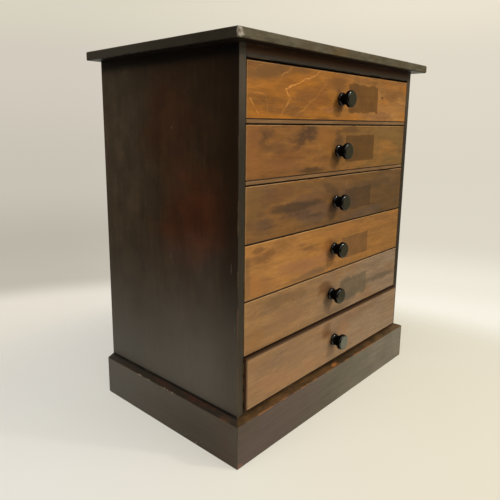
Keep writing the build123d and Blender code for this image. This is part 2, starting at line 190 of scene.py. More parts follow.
def make_edge_wear():
    """Rubbed through along the edges of a board that fills the box Centre +- Half."""
    tree, given, told = effect(
        "edge wear",
        {"Vector": origin, "Centre": origin, "Half": origin, "Width": 0.0015, "Patchy": 0.5, "Seed": 0.0},
        ("Worn",),
    )
    away = vectors(tree, "ABSOLUTE", vectors(tree, "SUBTRACT", given["Vector"], given["Centre"]))
    x, y, z = axes(tree, vectors(tree, "SUBTRACT", given["Half"], away))
    least = maths(tree, "MINIMUM", x, maths(tree, "MINIMUM", y, z))
    most = maths(tree, "MAXIMUM", x, maths(tree, "MAXIMUM", y, z))
    total = maths(tree, "ADD", x, maths(tree, "ADD", y, z))
    to_edge = maths(tree, "SUBTRACT", total, maths(tree, "ADD", least, most))
    uneven = mottle(tree, given["Vector"], 130.0, 4.0, given["Seed"], 0.7)
    width = times(tree, given["Width"], times(tree, uneven, 2.2))
    near = slope(tree, to_edge, width, 0.0)
    stretches = slope(tree, mottle(tree, given["Vector"], 28.0, 3.0, given["Seed"]), given["Patchy"],
                      maths(tree, "ADD", given["Patchy"], 0.12))
    join(tree, times(tree, near, stretches), told["Worn"])
    return tree


def make_bare_patch():
    """A rectangle on the front face, with slightly ragged edges."""
    tree, given, told = effect(
        "bare patch",
        {"Vector": origin, "Centre": origin, "Half": origin, "Soft": 0.0008, "Ragged": 0.003},
        ("Mask",),
    )
    away = vectors(tree, "ABSOLUTE", vectors(tree, "SUBTRACT", given["Vector"], given["Centre"]))
    x, _, z = axes(tree, vectors(tree, "SUBTRACT", given["Half"], away))
    nearest = maths(tree, "MINIMUM", x, z)
    uneven = slope(tree, mottle(tree, given["Vector"], 75.0, 5.0, 0.0, 0.6), 0.3, 0.7)
    torn = maths(tree, "SUBTRACT", uneven, 0.5)
    edge = maths(tree, "ADD", nearest, times(tree, torn, given["Ragged"]))
    join(tree, slope(tree, edge, times(tree, given["Soft"], -1.0), given["Soft"]), told["Mask"])
    return tree


def make_cloud():
    """A soft stain round a place, with a ragged outline."""
    tree, given, told = effect(
        "cloud",
        {
            "Vector": origin, "Centre": origin, "Reach": (0.01, 0.01, 0.01),
            "Ragged": 0.6, "Scale": 60.0, "Seed": 0.0,
        },
        ("Mask",),
    )
    out = vectors(tree, "DIVIDE", vectors(tree, "SUBTRACT", given["Vector"], given["Centre"]), given["Reach"])
    streaky = vectors(tree, "MULTIPLY", given["Vector"], (0.4, 0.4, 1.0))
    uneven = slope(tree, mottle(tree, streaky, given["Scale"], 5.0, given["Seed"], 0.65), 0.28, 0.72)
    torn = maths(tree, "SUBTRACT", uneven, 0.5)
    far = maths(tree, "ADD", vectors(tree, "LENGTH", out), times(tree, torn, given["Ragged"]))
    join(tree, slope(tree, far, 1.05, 0.3), told["Mask"])
    return tree


def make_figure_line():
    """One fine wandering line of figure between two places on a board's face."""
    tree, given, told = effect(
        "figure line",
        {
            "Vector": origin, "Start": origin, "End": (0.01, 0.0, 0.0),
            "Width": 0.0012, "Wander": 0.008, "Seed": 0.0,
        },
        ("Mask",),
    )
    inputs = {"Vector": given["Vector"], "W": given["Seed"], "Scale": 80.0, "Detail": 4.0}
    drift = add(tree, "TexNoise", inputs, noise_dimensions="4D").outputs["Color"]
    spread = add(tree, "CombineXYZ", {"X": given["Wander"], "Z": given["Wander"]}).outputs[0]
    moved = vectors(tree, "ADD", given["Vector"],
                    vectors(tree, "MULTIPLY", vectors(tree, "SUBTRACT", drift, (0.5, 0.5, 0.5)), spread))
    run = vectors(tree, "SUBTRACT", given["End"], given["Start"])
    reach = vectors(tree, "SUBTRACT", moved, given["Start"])
    part = maths(tree, "DIVIDE", vectors(tree, "DOT_PRODUCT", reach, run),
                 vectors(tree, "DOT_PRODUCT", run, run), clamp=True)
    scale = add(tree, "VectorMath", {0: run}, operation="SCALE")
    join(tree, part, scale.inputs["Scale"])
    off = vectors(tree, "LENGTH", vectors(tree, "SUBTRACT", reach, scale.outputs["Vector"]))
    uneven = mottle(tree, given["Vector"], 120.0, 2.0, given["Seed"])
    width = times(tree, given["Width"], between(tree, uneven, 0.4, 1.9))
    broken = slope(tree, mottle(tree, given["Vector"], 85.0, 2.0, given["Seed"]), 0.36, 0.62)
    faint = between(tree, broken, 0.25, 1.0)
    join(tree, times(tree, slope(tree, off, width, 0.0), faint), told["Mask"])
    return tree


board_grain = make_board_grain()
edge_wear = make_edge_wear()
bare_patch = make_bare_patch()
cloud = make_cloud()
figure_line = make_figure_line()


# ---------------------------------------------------------------- finishes

along_x = origin
along_y = (0.0, 0.0, math.radians(90))
upright = (0.0, math.radians(90), 0.0)


def start_finish(name, turn, seed, stretch=9.0, coarse=16.0, fine=170.0):
    """A new material, with its shader, its place on the object and the board's grain."""
    material = bpy.data.materials.new(name)
    material.use_nodes = True
    tree = material.node_tree
    shader = tree.nodes["Principled BSDF"]
    place = add(tree, "TexCoord").outputs["Object"]
    along = add(tree, "Mapping", {"Vector": place, "Rotation": turn}).outputs[0]
    grain = use(
        tree, board_grain, {"Vector": along, "Seed": seed, "Stretch": stretch, "Coarse": coarse, "Fine": fine}
    )
    return material, tree, shader, place, grain


def end_finish(tree, shader, paint, dull, height, deep=0.15 * MM, strength=0.5):
    """Joins colour, roughness and relief to the shader."""
    join(tree, paint, shader.inputs["Base Color"])
    join(tree, dull, shader.inputs["Roughness"])
    relief = add(tree, "Bump", {"Height": height, "Distance": deep, "Strength": strength})
    join(tree, relief.outputs[0], shader.inputs["Normal"])


def spot(tree, place, centre, reach, seed=0.0, ragged=0.6, scale=60.0):
    """A cloud mask at a place given in millimetres."""
    inputs = {
        "Vector": place, "Centre": tuple(v * MM for v in centre), "Reach": tuple(v * MM for v in reach),
        "Ragged": ragged, "Scale": scale, "Seed": seed,
    }
    return use(tree, cloud, inputs)["Mask"]


def worn_edges(tree, place, low, high, width, patchy, seed):
    """A mask of the rubbed edges of a board that fills a box."""
    inputs = {
        "Vector": place, "Centre": tuple((low + high) / 2), "Half": tuple((high - low) / 2),
        "Width": width, "Patchy": patchy, "Seed": seed,
    }
    return use(tree, edge_wear, inputs)["Worn"]


def make_stained(name, low, high, turn, seed, deep, mid, pale, wear=1.6 * MM, patchy=0.5,
                 worn=(96, 72, 50), specular=0.18, details=None):
    """Dark stained and polished case wood, rubbed along its edges."""
    material, tree, shader, place, grain = start_finish(name, turn, seed)
    paint = blend(tree, slope(tree, grain["Bands"], 0.32, 0.68), colour(*deep), colour(*mid))
    paint = tint(tree, paint, slope(tree, grain["Lines"], 0.45, 0.8), 0.55, pale)
    shine = between(tree, mottle(tree, place, 22.0, 4.0, seed), 0.34, 0.5)
    if details:
        paint, shine = details(tree, place, grain, paint, shine)
    paint = shaded(tree, paint, between(tree, grain["Pores"], 1.0, 0.8))
    rubbed = worn_edges(tree, place, low, high, wear, patchy, seed)
    paint = tint(tree, paint, rubbed, 0.75, worn)
    shine = between(tree, rubbed, shine, 0.55)
    height = maths(tree, "SUBTRACT", times(tree, grain["Lines"], 0.5),
                   times(tree, grain["Pores"], 0.35))
    end_finish(tree, shader, paint, shine, height)
    shader.inputs["Specular IOR Level"].default_value = specular
    return material


def make_bare(name, turn, seed, deep, mid, pale, details=None):
    """Plain unpolished wood, darkened by age."""
    material, tree, shader, place, grain = start_finish(name, turn, seed, 12.0, 24.0, 210.0)
    paint = blend(tree, slope(tree, grain["Bands"], 0.3, 0.7), colour(*deep), colour(*mid))
    paint = tint(tree, paint, slope(tree, grain["Lines"], 0.4, 0.75), 0.6, pale)
    shine = between(tree, mottle(tree, place, 40.0, 3.0, seed), 0.6, 0.78)
    if details:
        paint, shine = details(tree, place, grain, paint, shine)
    paint = shaded(tree, paint, between(tree, grain["Pores"], 1.0, 0.78))
    end_finish(tree, shader, paint, shine, maths(tree, "ADD", grain["Lines"], grain["Pores"]), 0.12 * MM)
    shader.inputs["Specular IOR Level"].default_value = 0.3
    return material


def inside_mask(tree, place):
    """1 on the case's unpolished insides, 0 on what shows from outside."""
    x, y, _ = axes(tree, place)
    across = slope(tree, maths(tree, "ABSOLUTE", x), inner_x + 0.9 * MM, inner_x + 0.5 * MM)
    behind = slope(tree, y, case_face_y + 3 * MM, case_face_y + 6 * MM)
    return times(tree, across, behind)


def case_inside(tree, grain):
    """Bare wood of the case's insides."""
    return blend(tree, grain["Bands"], colour(122, 86, 52), colour(158, 118, 74))


def side_details(tree, place, grain, paint, shine):
    """Red-brown glow at mid height, a greyer rear, a pale lower part that is partly dust and partly a painted
    reflection of the floor, a painted shadow under the top's overhang, and the paler front edge.
    """
    _, y, z = axes(tree, place)
    rear = times(tree, slope(tree, y, -0.03, 0.11), slope(tree, z, 0.1, 0.3))
    share = times(tree, rear, 0.85)
    uneven = between(tree, mottle(tree, place, 14.0, 4.0, 1.0), 0.75, 1.25)
    paint = blend(tree, share, paint, shaded(tree, colour(75, 61, 43), uneven))
    for centre, reach, stain, share, seed in (
        ((-190, -45, 262), (300, 85, 84), (68, 34, 15), 0.85, 2.0),
        ((-190, 5, 375), (300, 60, 55), (66, 36, 16), 0.6, 3.0),
        ((-190, -20, 320), (300, 26, 120), (66, 40, 23), 0.5, 4.0),
    ):
        glow = spot(tree, place, centre, reach, seed, 0.8, 18.0)
        paint = tint(tree, paint, glow, share, stain)
    core = spot(tree, place, (-190, -52, 270), (300, 52, 44), 6.0, 1.3, 40.0)
    paint = tint(tree, paint, core, 0.65, (74, 36, 15))
    upright_place = vectors(tree, "MULTIPLY", place, (1.0, 1.0, 0.16))
    streaks = slope(tree, mottle(tree, upright_place, 60.0, 5.0, 3.0, 0.65), 0.3, 0.7)
    blotches = slope(tree, mottle(tree, place, 30.0, 5.0, 8.0, 0.6), 0.3, 0.7)
    paint = shaded(tree, paint, times(tree, between(tree, streaks, 0.86, 1.14),
                                      between(tree, blotches, 0.8, 1.2)))
    front = slope(tree, y, case_face_y + 55 * MM, case_face_y + 6 * MM)
    paint = tint(tree, paint, front, 0.8, (33, 20, 6))
    # The pale grey lower part is partly dust and partly a painted reflection of the bright floor in the
    # polish.
    ragged = times(tree, mottle(tree, place, 9.0, 4.0, 6.0), 0.14)
    low = slope(tree, maths(tree, "ADD", z, ragged), 0.35, 0.13)
    dust_and_floor_reflection = shaded(tree, colour(98, 91, 79), between(tree, grain["Bands"], 0.86, 1.12))
    paint = blend(tree, times(tree, low, between(tree, front, 0.85, 0.6)), paint, dust_and_floor_reflection)
    thin = vectors(tree, "MULTIPLY", place, (1.0, 1.0, 0.1))
    scratch = slope(tree, mottle(tree, thin, 900.0, 2.0, 9.0), 0.7, 0.78)
    paint = tint(tree, paint, scratch, 0.16, (118, 100, 80))
    for centre, reach in (((-190, -106.5, 158), (9, 0.5, 5)), ((-190, -101, 224), (9, 0.6, 8)),
                          ((-190, -3, 222), (9, 0.7, 5)), ((-190, -8, 371), (9, 1.2, 2))):
        nick = spot(tree, place, centre, reach, 5.0, 0.4, 200.0)
        paint = tint(tree, paint, nick, 0.5, (120, 104, 84))
    # Painted shadow: the side's uppermost 17 mm darken towards the top, where the top's overhang shades it; a
    # dark band also runs along its foot above the plinth.
    under = slope(tree, z, case_high.z - 17 * MM, case_high.z - 6 * MM)
    foot = slope(tree, z, plinth_top + 2.2 * MM, plinth_top + 0.4 * MM)
    paint = tint(tree, paint, maths(tree, "MAXIMUM", under, foot), 0.85, (15, 11, 6))
    stile = slope(tree, y, case_face_y + 0.7 * MM, case_face_y + 0.3 * MM)
    middle = times(tree, slope(tree, z, 0.42, 0.35), slope(tree, z, -0.02, 0.18))
    edge = blend(tree, middle, colour(82, 73, 58), colour(55, 48, 37))
    edge = shaded(tree, edge, between(tree, mottle(tree, place, 60.0, 4.0, 2.0), 0.84, 1.16))
    paint = blend(tree, stile, paint, edge)
    shine = between(tree, stile, shine, 0.5)
    inside = inside_mask(tree, place)
    paint = blend(tree, inside, paint, case_inside(tree, grain))
    return paint, between(tree, inside, shine, 0.7)


def rail_details(tree, place, grain, paint, shine):
    """A painted shadow of the top's overhang over the upper half, a painted shade line along the lower arris,
    and plain wood behind.
    """
    _, y, z = axes(tree, place)
    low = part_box("top_rail_front")[0].z
    # Painted shadow of the top's overhang: the rail darkens upwards, darkest right under the top.
    rise = maths(tree, "ADD", z, times(tree, mottle(tree, place, 40.0, 3.0, 2.0), 2.5 * MM))
    upper = slope(tree, rise, low + 3.5 * MM, low + 8 * MM)
    paint = tint(tree, paint, upper, 0.9, (86, 54, 22))
    shade = slope(tree, rise, low + 7 * MM, low + 12 * MM)
    paint = tint(tree, paint, shade, 0.85, (56, 32, 10))
    # Painted shade of the gap between the rail and the first drawer, along the lower arris.
    arris = slope(tree, z, low + 1.6 * MM, low + 0.9 * MM)
    paint = tint(tree, paint, arris, 0.85, (14, 9, 5))
    inside = slope(tree, y, case_face_y + 3 * MM, case_face_y + 6 * MM)
    paint = blend(tree, inside, paint, case_inside(tree, grain))
    return paint, between(tree, inside, shine, 0.7)


def top_details(tree, place, grain, paint, shine):
    """A greyer front edge, rubbed and partly a painted reflection, a pale bruised corner and a painted shade
    on the underside.
    """
    x, y, z = axes(tree, place)
    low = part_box("top_board")[0]
    face = slope(tree, y, low.y + 2.2 * MM, low.y + 1.0 * MM)
    # The front edge's grey is partly rubbing and partly a painted reflection of the pale surroundings in its
    # polish.
    streaky = vectors(tree, "MULTIPLY", place, (0.3, 1.0, 1.0))
    grey = blend(tree, slope(tree, mottle(tree, streaky, 200.0, 5.0, 4.0, 0.7), 0.34, 0.66),
                 colour(76, 68, 48), colour(104, 95, 72))
    brown = slope(tree, mottle(tree, place, 26.0, 4.0, 14.0), 0.42, 0.62)
    brown = times(tree, brown, between(tree, slope(tree, x, -0.19, -0.1), 0.2, 0.45))
    grey = blend(tree, brown, grey, colour(88, 72, 44))
    rubbed = spot(tree, place, (-36, -127, 457), (30, 30, 12), 3.0, 1.2, 120.0)
    grey = tint(tree, grey, rubbed, 0.5, (104, 76, 38))
    paint = blend(tree, face, paint, grey)
    shine = between(tree, face, shine, 0.55)
    end = slope(tree, x, low.x + 2.2 * MM, low.x + 1.0 * MM)
    rear = times(tree, end, slope(tree, y, -0.06, 0.1))
    paint = tint(tree, paint, rear, 0.7, (68, 61, 48))
    corner = spot(tree, place, (low.x / MM + 2.5, low.y / MM, 458), (5.5, 2.6, 10), 1.0, 0.9, 260.0)
    pale = blend(tree, slope(tree, mottle(tree, place, 360.0, 4.0, 3.0, 0.6), 0.34, 0.62),
                 colour(108, 94, 75), colour(188, 177, 158))
    paint = blend(tree, corner, paint, pale)
    # Painted shade on the underside of the top.
    under = slope(tree, z, low.z + 0.7 * MM, low.z + 0.2 * MM)
    paint = tint(tree, paint, under, 0.92, (22, 14, 8))
    return paint, between(tree, corner, shine, 0.75)


def plinth_details(on_front):
    """Purple-brown to grey along the front, the grey partly a painted reflection of the floor, dark bevels,
    and the chips of their arrises.
    """

    def details(tree, place, grain, paint, shine):
        x, y, z = axes(tree, place)
        ruddy = slope(tree, mottle(tree, place, 13.0, 4.0, 3.0), 0.46, 0.62)
        paint = tint(tree, paint, ruddy, 0.8, (80, 59, 47))
        rear = slope(tree, maths(tree, "ADD", y, times(tree, grain["Bands"], 0.08)), -0.05, 0.16)
        paint = tint(tree, paint, rear, 0.85, (98, 91, 80))
        if on_front:
            # The front runs from purple-brown near the corner to paler grey further along; the grey partly
            # stands for a painted reflection of the pale floor in the sheen.
            near = blend(tree, slope(tree, mottle(tree, place, 11.0, 3.0, 5.0), 0.4, 0.6),
                         colour(80, 69, 56), colour(86, 71, 62))
            far = blend(tree, slope(tree, mottle(tree, place, 15.0, 3.0, 6.0), 0.4, 0.62),
                        colour(114, 105, 88), colour(102, 94, 78))
            along = blend(tree, slope(tree, x, -0.15, 0.14), near, far)
            thin = vectors(tree, "MULTIPLY", place, (0.03, 1.0, 1.0))
            streaks = slope(tree, mottle(tree, thin, 420.0, 3.0, 2.0, 0.7), 0.3, 0.7)
            paint = shaded(tree, along, between(tree, streaks, 0.86, 1.14))
        bevel = slope(tree, z, 51.0 * MM, 51.8 * MM)
        dark = colour(46, 38, 28)
        if on_front:
            long = vectors(tree, "MULTIPLY", place, (0.5, 1.0, 0.3))
            patchy = slope(tree, mottle(tree, long, 30.0, 4.0, 8.0, 0.6), 0.42, 0.6)
            dark = blend(tree, patchy, colour(54, 37, 15), colour(90, 63, 30))
        paint = blend(tree, times(tree, bevel, 0.95), paint, dark)
        joint = slope(tree, z, plinth_top - 1.3 * MM, plinth_top - 0.5 * MM)
        for centre, reach, stain, share, seed in plinth_stains:
            mask = spot(tree, place, centre, reach, seed, 1.0, 90.0)
            paint = tint(tree, paint, mask, share, stain)
        above = slope(tree, z, 50.2 * MM, 50.9 * MM)
        arris = times(tree, above, slope(tree, z, 52.4 * MM, 51.4 * MM))
        broken = slope(tree, mottle(tree, place, 55.0, 5.0, 12.0, 0.7), 0.46, 0.56)
        bared = times(tree, arris, times(tree, broken, 0.85 if on_front else 0.25))
        paint = blend(tree, bared, paint, colour(140, 94, 52))
        for chip_y, chip_z, length in plinth_chips:
            chip = spot(tree, place, (-200, chip_y, chip_z), (6, length, 0.9), chip_y, 0.9, 240.0)
            paint = tint(tree, paint, chip, 0.75, (172, 146, 120))
        specks = slope(tree, mottle(tree, place, 210.0, 2.0, 21.0), 0.76, 0.79)
        paint = tint(tree, paint, specks, 0.5, (140, 122, 100))
        return tint(tree, paint, joint, 0.3 if on_front else 0.85, (12, 9, 6)), shine

    return details


# Each stain's centre, reach, colour, share and seed, and each chip's place along Y, its height and its length
plinth_stains = (
    ((-200, -60, 56), (14, 56, 3.4), (80, 42, 28), 0.75, 4.0),
    ((-200, 10, 55), (14, 44, 3), (72, 44, 30), 0.6, 5.0),
    ((-200, -98, 53), (14, 12, 3), (80, 56, 38), 0.5, 5.5),
    ((-120, -121, 52.5), (50, 14, 2.2), (108, 74, 42), 0.5, 6.0),
    ((-30, -121, 53), (40, 14, 2.6), (92, 60, 30), 0.6, 6.5),
    ((-2, -121, 53.0), (11, 14, 1.5), (168, 104, 54), 0.85, 7.0),
    ((8, -121, 54.6), (9, 14, 1.2), (140, 86, 44), 0.8, 7.5),
    ((75, -121, 54), (30, 14, 4), (92, 60, 30), 0.6, 8.0),
    ((-196, -121, 3), (5, 6, 4), (136, 92, 66), 0.5, 9.0),
)
plinth_chips = (
    (54, 51.3, 6), (38, 51.2, 2.2), (35, 51.2, 1.6), (3, 51.2, 2), (-2, 51.2, 1.4), (-11.5, 51.2, 1.2),
    (-36, 6, 1.2), (-54, 3, 1.4), (-63, 8, 1.2), (-66, 5, 0.9),
)

# Each front's own colours and marks. Places are in millimetres, across from the cabinet's middle and up from
# the front's lower edge. A line has two ends and a share; a cloud has a centre, reach, colour and share.
# In each look, the edge faces' colour, the line along the lower edge and the colour deeper than the face are
# painted shade of the gaps between fronts, except where drawer 6 shows its lit top edge.
usual_look = {
    "label": None, "lines": (), "soft": 0.8, "edge": (28, 17, 9), "lower_edge_line": (30, 17, 8), "gap_shade": (30, 19, 11),
    "arris": None,
}
drawer_looks = {
    1: {
        "left": (168, 105, 28), "right": (172, 119, 58), "deep": (126, 82, 32), "warm": (180, 112, 26),
        "flame": 0.8, "lean": 0.6, "sheen": 0.34, "bands": (0.92, 1.08), "torn": 3.4,
        "label": ((53, 29), (38, 17.3), (108, 68, 8), 0.92),
        "lines": (
            (-123.5, 5.7, -108, 22.8, 0.8), (-108, 22.8, -116.6, 33.1, 0.95),
            (-116.6, 33.1, -90.3, 41.6, 1.0), (-90.3, 41.6, -64.4, 49.4, 0.9),
            (-64.4, 49.4, -39.6, 61.5, 0.6), (-123, 46.1, -101.6, 58.7, 0.5),
            (-173.6, 28.1, -148.8, 24.7, 0.45), (-148.8, 24.7, -145.5, 6.5, 0.4),
            (-174.3, 20.4, -161.9, 6.3, 0.7),
            (-94.9, 6.1, -56.1, 27.2, 0.45), (-56.1, 27.2, -36, 44.8, 0.3), (-59.4, 6.6, -38.7, 15.5, 0.45),
            (2.2, 43, 31.3, 53.6, 0.25), (43.4, 48.1, 104.2, 57.5, 0.3), (96.5, 41.4, 175.1, 56.4, 0.22),
            (-33.4, 9.6, -16.2, 14, 0.5), (-168.9, 50, -138.8, 61.3, 0.3), (-175.4, 31.2, -150, 37, 0.3),
        ),
        "clouds": (
            ((-136, 50), (60, 12), (124, 88, 42), 0.55),
            ((-100, 54), (34, 8), (108, 74, 32), 0.5), ((-60, 24), (36, 20), (128, 78, 34), 0.55),
            ((-10, 46), (26, 10), (112, 74, 34), 0.5), ((-125, 9), (34, 9), (108, 72, 36), 0.55),
            ((-118, 36), (14, 16), (154, 94, 26), 0.6), ((-150, 44), (24, 10), (112, 78, 34), 0.5),
            ((104.1, 33.1), (3, 2.4), (62, 38, 20), 0.95), ((100, 8), (60, 6), (128, 88, 54), 0.5),
            ((-24, 14), (20, 7), (146, 96, 66), 0.5),
        ),
    },
    2: {
        "left": (138, 90, 40), "right": (126, 92, 42), "deep": (110, 75, 36), "warm": (156, 104, 42),
        "flame": 0.75, "lean": 0.1, "sheen": 0.36, "bands": (0.9, 1.1), "torn": 1.0,
        "label": ((50.5, 28.3), (37, 17), (93, 60, 10), 0.88),
        "clouds": (
            ((-152, 45), (38, 15), (88, 60, 34), 0.8), ((-84, 47), (38, 15), (78, 54, 32), 0.85),
            ((-70, 6), (38, 4), (74, 52, 28), 0.75), ((-168, 30), (14, 34), (154, 98, 44), 0.6),
            ((-36, 44), (24, 18), (148, 94, 36), 0.6), ((-90, 22), (70, 10), (108, 66, 34), 0.5),
            ((20, 54), (26, 6), (98, 68, 34), 0.6), ((-2, 42), (15, 12), (88, 58, 30), 0.65),
            ((-130, 34), (30, 8), (96, 66, 42), 0.5), ((120, 50), (50, 10), (142, 104, 54), 0.5),
            ((-120, 14), (60, 9), (138, 90, 48), 0.5),
        ),
    },
    3: {
        "left": (134, 91, 42), "right": (103, 73, 34), "deep": (86, 65, 46), "warm": (122, 87, 48),
        "flame": 0.7, "lean": 0.05, "sheen": 0.4, "bands": (0.88, 1.12), "torn": 3.0,
        "label": ((51, 29), (34.2, 14.5), (72, 50, 26), 0.6),
        "clouds": (
            ((-40, 26), (90, 16), (98, 74, 55), 0.6),
            ((-82, 31.8), (54, 6), (58, 44, 32), 0.66), ((-98, 23), (38, 6), (70, 54, 42), 0.6),
            ((-50, 17), (30, 5), (64, 49, 37), 0.6), ((-18, 46), (24, 15), (70, 54, 38), 0.6),
            ((19.8, 50.1), (4, 4.6), (140, 94, 56), 0.8), ((-164, 30), (18, 40), (126, 90, 44), 0.65),
            ((-120, 48), (46, 9), (110, 72, 40), 0.5), ((90, 44), (70, 9), (82, 62, 38), 0.5),
            ((-60, 40), (50, 5), (118, 80, 50), 0.45), ((-40, 26), (16, 6), (116, 82, 54), 0.5),
            ((60, 8), (80, 8), (96, 74, 54), 0.5),
        ),
    },
    4: {
        "left": (168, 116, 56), "right": (149, 102, 46), "deep": (136, 92, 48), "warm": (180, 121, 54),
        "flame": 0.65, "lean": 0.08, "sheen": 0.36, "bands": (0.93, 1.07), "torn": 1.2,
        "label": ((50, 26), (35, 14.5), (113, 77, 37), 0.8),
        "clouds": (
            ((-60, 22), (90, 14), (154, 104, 66), 0.6),
            ((-150, 42), (17, 8), (114, 74, 38), 0.6), ((-138, 47), (11, 5), (110, 72, 38), 0.55),
            ((-78, 46), (24, 3.4), (112, 74, 38), 0.7), ((-68, 40), (14, 2.6), (118, 76, 40), 0.6),
            ((-158, 54), (12, 4), (104, 68, 34), 0.6), ((-30, 8), (30, 6), (112, 86, 56), 0.6),
            ((20, 52), (70, 9), (172, 114, 54), 0.6), ((-20, 34), (15, 10), (132, 74, 32), 0.5),
            ((-60, 5), (60, 4), (112, 84, 54), 0.6), ((-160, 14), (22, 18), (164, 106, 48), 0.6),
            ((-176, 26), (7, 40), (116, 84, 50), 0.5),
        ),
    },
    5: {
        "left": (148, 108, 62), "right": (144, 119, 91), "deep": (120, 95, 66), "warm": (147, 107, 64),
        "flame": 0.5, "lean": 0.06, "sheen": 0.4, "bands": (0.92, 1.08), "torn": 5.0,
        "label": ((50, 28), (36, 15), (98, 84, 62), 0.75), "soft": 2.4,
        "clouds": (
            ((42, 18), (36, 8), (80, 73, 60), 0.75), ((132, 26), (50, 7), (96, 80, 60), 0.65),
            ((-24, 44), (19, 12), (108, 72, 38), 0.7), ((-12, 32), (16, 12), (98, 68, 40), 0.6),
            ((30, 42), (26, 6), (88, 76, 56), 0.6), ((-110, 50), (60, 9), (112, 82, 48), 0.6),
            ((-90, 24), (56, 14), (136, 98, 64), 0.6), ((-160, 16), (20, 16), (144, 98, 46), 0.5),
            ((10, 6), (40, 5), (104, 84, 60), 0.5),
        ),
    },
    6: {
        "left": (146, 109, 69), "right": (138, 112, 83), "deep": (127, 99, 69), "warm": (156, 113, 70),
        "flame": 0.5, "lean": 0.05, "sheen": 0.38, "bands": (0.94, 1.06), "edge": (84, 56, 32), "torn": 1.0,
        # Drawer 6 stands ajar: its lower edge line is pale, and its arris colour darkens its top edge,
        # painted shade of the gap above, and its left end.
        "lower_edge_line": (178, 140, 98), "arris": (62, 38, 17), "gap_shade": (16, 6, 2),
        "clouds": (
            ((-18, 47), (14, 12), (110, 72, 38), 0.7), ((-120, 40), (70, 9), (124, 92, 62), 0.5),
            ((-130, 18), (56, 11), (150, 102, 66), 0.5), ((60, 50), (56, 8), (124, 92, 60), 0.5),
            ((-100, 10), (70, 6), (158, 112, 68), 0.5), ((20, 36), (20, 12), (150, 104, 62), 0.5),
        ),
    },
}


